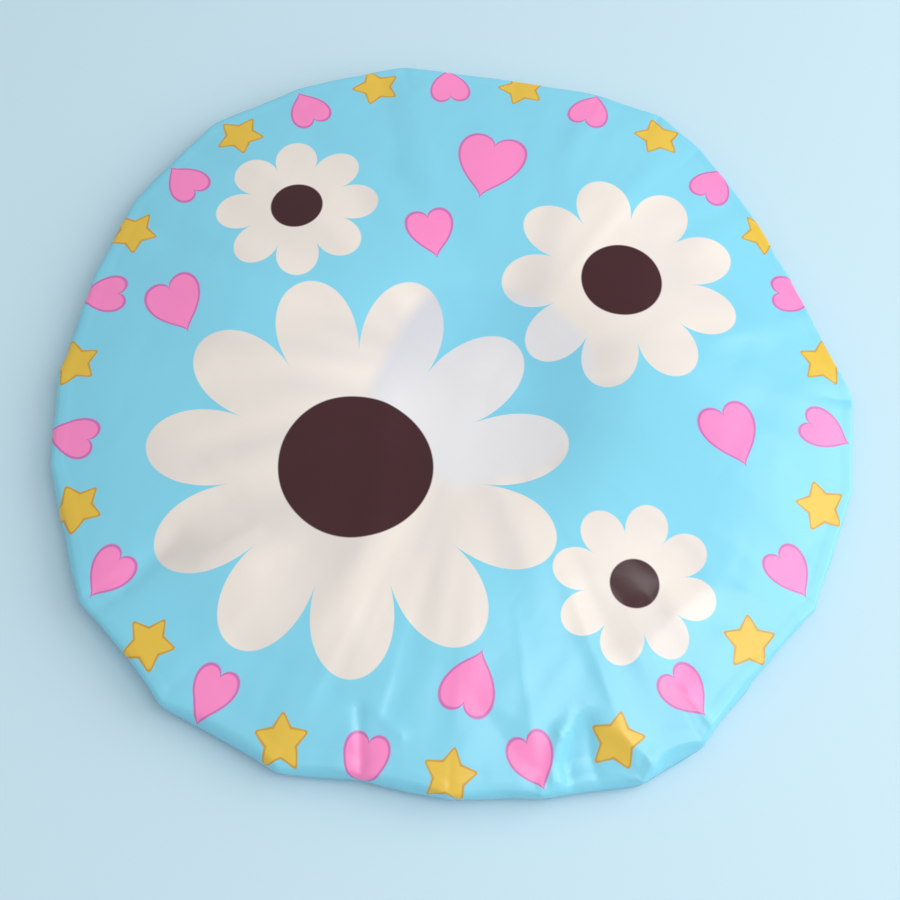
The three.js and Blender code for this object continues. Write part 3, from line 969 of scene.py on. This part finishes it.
# Where each fade starts and ends, as inputs 1 and 2 of the Map Range node. Places are in shares of
# the mouth's radius, and the noises' scales are in swings for each of it.
MOUTH_FADE, SHADE_FADE, STREAK_FADE = {1: 0.76, 2: 0.92}, {1: 0.1, 2: 0.8}, {1: 0.35, 2: 0.75}
EDGE_NOISE = {"Scale": 1.1, "Detail": 1}
STREAK_NOISE = {"Scale": 0.7, "Detail": 0.5}

def inks_with_painted_shade(tree):
    """The sky and pale inks with painted shade: darker over the open mouth, at its upper left edge, and in
    streaks over the pleats.
    """
    place = add(tree, "ShaderNodeTexCoord", {}, "Object")
    centred = own_frame(tree, place, (MOUTH.real, MOUTH.imag), MOUTH_RADIUS, 0)
    plan = add(tree, VECTOR, {0: centred, 1: (1, 1, 0)}, operation="MULTIPLY")
    even = add(tree, VECTOR, {0: plan}, "Value", operation="LENGTH")
    bend = add(tree, NOISE, {"Vector": plan, **EDGE_NOISE})
    bend = add(tree, MATH, {0: bend, 1: 0.5}, operation="SUBTRACT")
    radius = add(tree, MATH, {0: bend, 1: EDGE_WANDER, 2: even}, operation="MULTIPLY_ADD")
    outside = add(tree, MAP_RANGE, {0: radius, **MOUTH_FADE}, interpolation_type="SMOOTHSTEP")
    # Painted shade in faint streaks that run outwards over the pleats.
    way = add(tree, VECTOR, {0: plan}, operation="NORMALIZE")
    ring = add(tree, VECTOR, {0: way, "Scale": STREAKS}, operation="SCALE")
    lines = add(tree, VECTOR, {0: ring, 1: plan}, operation="ADD")
    streaks = add(tree, NOISE, {"Vector": lines, **STREAK_NOISE})
    shade = add(tree, MAP_RANGE, {0: streaks, **STREAK_FADE}, interpolation_type="SMOOTHSTEP")
    # Painted shade, darker towards the mouth's upper left edge.
    toward = add(tree, VECTOR, {0: plan, 1: EDGE_SHADE_WAY}, "Value", operation="DOT_PRODUCT")
    edge = add(tree, MAP_RANGE, {0: toward, **SHADE_FADE}, interpolation_type="SMOOTHSTEP")
    # Over the mouth the pale ink is painted greyer, and over the pleats streaked, both as painted shade.
    shaded_over_mouth = painted(tree, hex_colour(MILK_SHADED_OVER_MOUTH), edge, MILK_SHADED_AT_EDGE)
    over_pleats = painted(tree, hex_colour(MILK_OVER_PLEATS), shade, MILK_IN_SHADE)
    milk = painted(tree, shaded_over_mouth, outside, over_pleats)
    # The blue ground is painted a little darker over the mouth, as painted shade.
    sky = painted(tree, hex_colour(SKY_SHADED_OVER_MOUTH), outside, SKY)
    return sky, milk

print("Pale inks change from", MOUTH_FADE[1], "to", MOUTH_FADE[2], "of the mouth's radius")

# %% [markdown]
# Stars and hearts run round the rim by turns and over it. Thirty motifs would each need their own
# nodes. Instead the ring is cut into thirty cells, and every place is given in the coordinates of
# its own cell, so that one star and one heart serve them all. Chance tilts each cell its own way,
# by up to half a radian.

# %% Cells of the border
BORDER_RADIUS = 135 * MM
BORDER_MOTIFS = 30
TILT_RANGE = {3: -0.5, 4: 0.5}

def border_cell(tree, place):
    """A tilted place in the cell round the nearest motif, and 1 in every other cell."""
    x, y = [add(tree, SEPARATE, {0: place}, axis) for axis in (0, 1)]
    angle = add(tree, MATH, {0: y, 1: x}, operation="ARCTAN2")
    cells = add(tree, MATH, {0: angle, 1: BORDER_MOTIFS / (2 * math.pi)}, operation="MULTIPLY")
    number = add(tree, MATH, {0: cells}, operation="FLOOR")
    share = add(tree, MATH, {0: cells, 1: number}, operation="SUBTRACT")
    share = add(tree, MATH, {0: share, 1: 0.5}, operation="SUBTRACT")
    cell_width = 2 * math.pi * BORDER_RADIUS / BORDER_MOTIFS
    along = add(tree, MATH, {0: share, 1: cell_width}, operation="MULTIPLY")
    radius = add(tree, VECTOR, {0: place}, "Value", operation="LENGTH")
    outward = add(tree, MATH, {0: radius, 1: BORDER_RADIUS}, operation="SUBTRACT")
    cell = add(tree, "ShaderNodeCombineXYZ", {0: along, 1: outward, 2: 0.0})
    chance = add(tree, "ShaderNodeTexWhiteNoise", {"W": number}, "Value", noise_dimensions="1D")
    tilt = add(tree, MAP_RANGE, {0: chance, **TILT_RANGE})
    tilted = add(tree, "ShaderNodeVectorRotate", {0: cell, 3: tilt}, rotation_type="Z_AXIS")
    return tilted, add(tree, MATH, {0: number, 1: 2}, operation="FLOORED_MODULO")

print("Border motifs:", BORDER_MOTIFS)

# %% [markdown]
# The stars are yellow and the hearts pink, each with a thin darker line round it. Both are drawn in
# every cell, and each is moved out of sight in the other's cells, which costs less than choosing
# between two finished colours.

# %% Border
FAR_AWAY = 3
STAR_SIZE, BORDER_HEART_SIZE = 9.2 * MM, 7.2 * MM
MOTIF_LINE = 0.9 * MM
UPRIGHT, POINTING_OUT = 0, 180

def outlined(tree, colour, distance, size, ink, line):
    """A motif in one ink with a thin line of another round it."""
    bleed = INK_BLEED / size
    outer = add(tree, MATH, {0: distance, 1: MOTIF_LINE / size}, operation="SUBTRACT")
    colour = painted(tree, colour, ink_edge(tree, outer, bleed), line)
    return painted(tree, colour, ink_edge(tree, distance, bleed), ink)

def border(tree, place, colour):
    """Stars and hearts by turns round the rim, each tilted its own way."""
    tilted, odd = border_cell(tree, place)
    star_edge = star(tree, own_frame(tree, tilted, (0, 0), STAR_SIZE, UPRIGHT))
    star_edge = add(tree, MATH, {0: odd, 1: FAR_AWAY, 2: star_edge}, operation="MULTIPLY_ADD")
    colour = outlined(tree, colour, star_edge, STAR_SIZE, YELLOW, OCHRE)
    heart_edge = heart(tree, own_frame(tree, tilted, (0, 0), BORDER_HEART_SIZE, POINTING_OUT))
    even = add(tree, MATH, {0: 1, 1: odd}, operation="SUBTRACT")
    heart_edge = add(tree, MATH, {0: even, 1: FAR_AWAY, 2: heart_edge}, operation="MULTIPLY_ADD")
    return outlined(tree, colour, heart_edge, BORDER_HEART_SIZE, PINK, PLUM)

print("Border stars are", round(2 * STAR_SIZE / MM, 1), "mm across")

# %% [markdown]
# Off centre lies one large daisy with smaller ones round it, and hearts fill the gaps. Each daisy
# is a place, a radius, a number of petals, a turn in degrees and its heart's share of the radius,
# and each heart is a place, a size and a turn, all in millimetres on the flat disc.

# %% Layout of the print
DAISIES = [((-32, -30), 74, 11, 8, 0.36), ((62, 42), 43, 9, 20, 0.34), ((-56, 74), 30, 8, 3, 0.32),
           ((62, -72), 28, 8, 31, 0.3)]
HEARTS = [((14, 88), 12, -14), ((99, -20), 9.5, 20), ((-97, 32), 9.5, 24), ((8, -103), 8.5, 160),
          ((-6, 59), 8, 12)]

def film_print(tree):
    place = add(tree, "ShaderNodeAttribute", {}, "Vector", attribute_name="flat_place")
    colour, milk = inks_with_painted_shade(tree)
    for centre, size, petals, turned, core in DAISIES:
        own = own_frame(tree, place, [c * MM for c in centre], size * MM, turned)
        edge, radius = daisy(tree, own, petals)
        bleed = INK_BLEED / (size * MM)
        colour = painted(tree, colour, ink_edge(tree, edge, bleed), milk)
        from_core = add(tree, MATH, {0: radius, 1: core}, operation="SUBTRACT")
        colour = painted(tree, colour, ink_edge(tree, from_core, bleed), BROWN)
    for centre, size, turned in HEARTS:
        own = own_frame(tree, place, [c * MM for c in centre], size * MM, turned)
        colour = outlined(tree, colour, heart(tree, own), size * MM, PINK, PLUM)
    return border(tree, place, colour)

print("Motifs on the crown:", len(DAISIES) + len(HEARTS))

# %% [markdown]
# The film is most likely PEVA, the soft plastic of shower curtains, calendered between smooth
# rollers and printed on one side. That leaves it semi-gloss: a low, even roughness gives the broad
# soft highlights of such film. A bump of shallow waves and flat cells, finer than the mesh, breaks
# them up as handling does. Large and small marks together are what makes the sheet look thin.

# %% Printed film
GLOSS_ROUGHNESS = 0.24
FILM_IOR = 1.48
WAVE_SIZE, CELL_SIZE = 14 * MM, 9 * MM
CELL_SHARE = 0.8
WRINKLE_STRENGTH, WRINKLE_HEIGHT = 0.5, 0.16 * MM

def film_wrinkles(tree, place):
    """Fine marks of handling, too small for the mesh, as a bump."""
    waves = add(tree, NOISE, {"Vector": place, "Scale": 1 / WAVE_SIZE, "Detail": 2})
    cells = {"Vector": place, "Scale": 1 / CELL_SIZE}
    cells = add(tree, "ShaderNodeTexVoronoi", cells, feature="DISTANCE_TO_EDGE")
    height = add(tree, MATH, {0: cells, 1: CELL_SHARE, 2: waves}, operation="MULTIPLY_ADD")
    bump = {"Height": height, "Strength": WRINKLE_STRENGTH, "Distance": WRINKLE_HEIGHT}
    return add(tree, "ShaderNodeBump", bump)

def printed_film():
    """Calendered PEVA, printed: as smooth under the ink, so highlights run on across every edge."""
    material, tree = new_material("printed_calendered_peva")
    place = add(tree, "ShaderNodeTexCoord", {}, "Object")
    colour = film_print(tree)
    shader = add(tree, SHADER, {"Base Color": colour, "Roughness": GLOSS_ROUGHNESS, "IOR": FILM_IOR,
                                "Normal": film_wrinkles(tree, place)})
    add(tree, OUTPUT, {"Surface": shader})
    return material

film_material = printed_film()
film.data.materials.append(film_material)
print("Nodes in the printed film:", len(film_material.node_tree.nodes))

# %% [markdown]
# The binding is the same film without print. It could share the printed material, with its place
# on the disc moved off every motif, but it is dyed right through: it keeps the gloss and wrinkles
# and only clouds a little in colour, where the film is thinner or thicker.

# %% Plain film
BINDING_BLUES = ("#86D2EA", "#93D9EE")
CLOUD_SIZE = 9 * MM

def plain_film():
    """Calendered PEVA, unprinted: one blue right through, a shade paler where it is thin."""
    material, tree = new_material("plain_calendered_peva")
    place = add(tree, "ShaderNodeTexCoord", {}, "Object")
    cloud = add(tree, NOISE, {"Vector": place, "Scale": 1 / CLOUD_SIZE, "Detail": 2})
    colour = painted(tree, hex_colour(BINDING_BLUES[0]), cloud, BINDING_BLUES[1])
    shader = add(tree, SHADER, {"Base Color": colour, "Roughness": GLOSS_ROUGHNESS, "IOR": FILM_IOR,
                                "Normal": film_wrinkles(tree, place)})
    add(tree, OUTPUT, {"Surface": shader})
    return material

binding.data.materials.append(plain_film())
print("Binding finish:", binding.data.materials[0].name)

# %% [markdown]
# The elastic is braided from polyester: a diagonal weave in two off-whites, dull and faintly fuzzy.
# The thread is spun from plies, whose twist shows as fine slanting lines along it. A slant repeats
# every 0.63 of the wave's unit, so every 2 mm on the elastic and every 1.5 mm on the thread. Both
# are coarser than the real ones, so that they show.

# %% Elastic and thread
BRAID_WHITES, THREAD_WHITES = ("#D9D8D2", "#F4F3EE"), ("#CFE6EE", "#F1F6F6")
BRAID_SLANTS = {"Scale": 1 / (3.2 * MM), "Distortion": 0.4}
PLY_SLANTS = {"Scale": 1 / (2.4 * MM)}
BRAID_BUMPS = {"Strength": 0.8, "Distance": 0.06 * MM}
PLY_BUMPS = {"Strength": 0.8, "Distance": 0.04 * MM}
BRAID_SURFACE = {"Roughness": 0.85, "Sheen Weight": 0.2}
THREAD_SURFACE = {"Roughness": 0.55, "Sheen Weight": 0.15}

def yarn(name, colours, slants, bumps, surface):
    """Polyester yarn, whose slanting fibres set both its colour and its bumps."""
    material, tree = new_material(name)
    place = add(tree, "ShaderNodeAttribute", {}, "Vector", attribute_name="flat_place")
    fibres = add(tree, "ShaderNodeTexWave", {"Vector": place, **slants}, bands_direction="DIAGONAL")
    colour = painted(tree, hex_colour(colours[0]), fibres, colours[1])
    bump = add(tree, "ShaderNodeBump", {"Height": fibres, **bumps})
    shader = add(tree, SHADER, {"Base Color": colour, "Normal": bump, **surface})
    add(tree, OUTPUT, {"Surface": shader})
    return material

def braid():
    """Braided polyester: matt, because its fibres cross, with a little fuzz at grazing angles."""
    return yarn("braided_polyester", BRAID_WHITES, BRAID_SLANTS, BRAID_BUMPS, BRAID_SURFACE)

def twisted_thread():
    """Twisted polyester: its fibres lie side by side, which gives it a dull shine along each ply."""
    return yarn("twisted_polyester_thread", THREAD_WHITES, PLY_SLANTS, PLY_BUMPS, THREAD_SURFACE)

elastic.data.materials.append(braid())
thread_finish = twisted_thread()
for piece in (upper_thread, lower_thread, tack):
    piece.data.materials.append(thread_finish)
print("Yarn finishes:", [elastic.data.materials[0].name, thread_finish.name])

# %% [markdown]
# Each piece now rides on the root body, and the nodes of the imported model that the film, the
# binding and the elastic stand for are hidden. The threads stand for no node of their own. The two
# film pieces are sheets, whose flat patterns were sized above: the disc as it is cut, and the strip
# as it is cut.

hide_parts("film_disc")
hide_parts("hem_binding")
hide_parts("elastic_loop")
for piece in (film, binding, elastic, upper_thread, lower_thread, tack):
    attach(piece, "root")

# %% [markdown]
# The cap lies on a pale blue table top. It could have grain and wear of its own, but it is only a
# stage, so it is kept plain, and its paint is matt so that it takes the shadow and no glare.

# %% Table
TABLE_SIZE = 6
TABLE_BLUE, TABLE_ROUGHNESS, TABLE_SPECULAR = "#C4DFEB", 0.7, 0.2

def painted_table():
    """Matt paint, rolled on: an even colour that takes a soft shadow and hardly mirrors the lamps."""
    material, tree = new_material("rolled_matt_paint")
    shader = add(tree, SHADER, {"Base Color": hex_colour(TABLE_BLUE), "Roughness": TABLE_ROUGHNESS,
                                "Specular IOR Level": TABLE_SPECULAR})
    add(tree, OUTPUT, {"Surface": shader})
    return material

bpy.ops.mesh.primitive_plane_add(size=TABLE_SIZE, location=(0, 0, 0))
floor = bpy.context.object
floor.name = "table_top"
floor.data.materials.append(painted_table())
print("Stage:", floor.name)

# %% [markdown]
# The photograph looks lit by a large window low on the right, which brightens that rim and leaves
# a soft shadow on the left. One lamp could do for it, but a smaller one nearly overhead draws the
# broad sheen on the near right side and picks out the creases. A wide, weak panel and an even white
# world fill the rest, at a level where a colour renders about as it is written.

# %% Light and world
WORLD_WHITE, WORLD_STRENGTH = "#FFFFFF", 0.52

# Each lamp is a square that faces the cap: its name, place and size in metres, and power in watts.
LAMPS = [
    ("window", (0.95, 0.02, 0.58), 1.1, 9.1),
    ("near_side_panel", (0, -0.8, 1.3), 1.6, 2.2),
    ("overhead_lamp", (0.42, -0.27, 1.25), 0.6, 3.6),
]

def soft_light(name, place, size, power):
    bpy.ops.object.light_add(type="AREA", location=place)
    lamp = bpy.context.object
    lamp.name = name
    lamp.data.shape = "SQUARE"
    lamp.data.size = size
    lamp.data.energy = power
    lamp.rotation_euler = (-Vector(place)).to_track_quat("-Z", "Y").to_euler()
    return lamp

def light_world():
    world = bpy.data.worlds.new("studio")
    bpy.context.scene.world = world
    world.use_nodes = True
    background = world.node_tree.nodes["Background"]
    background.inputs["Color"].default_value = hex_colour(WORLD_WHITE)
    background.inputs["Strength"].default_value = WORLD_STRENGTH

lamps = [soft_light(*lamp) for lamp in LAMPS]
light_world()
bpy.context.scene.view_settings.view_transform = "Standard"
print("Lamps:", [lamp.name for lamp in lamps])
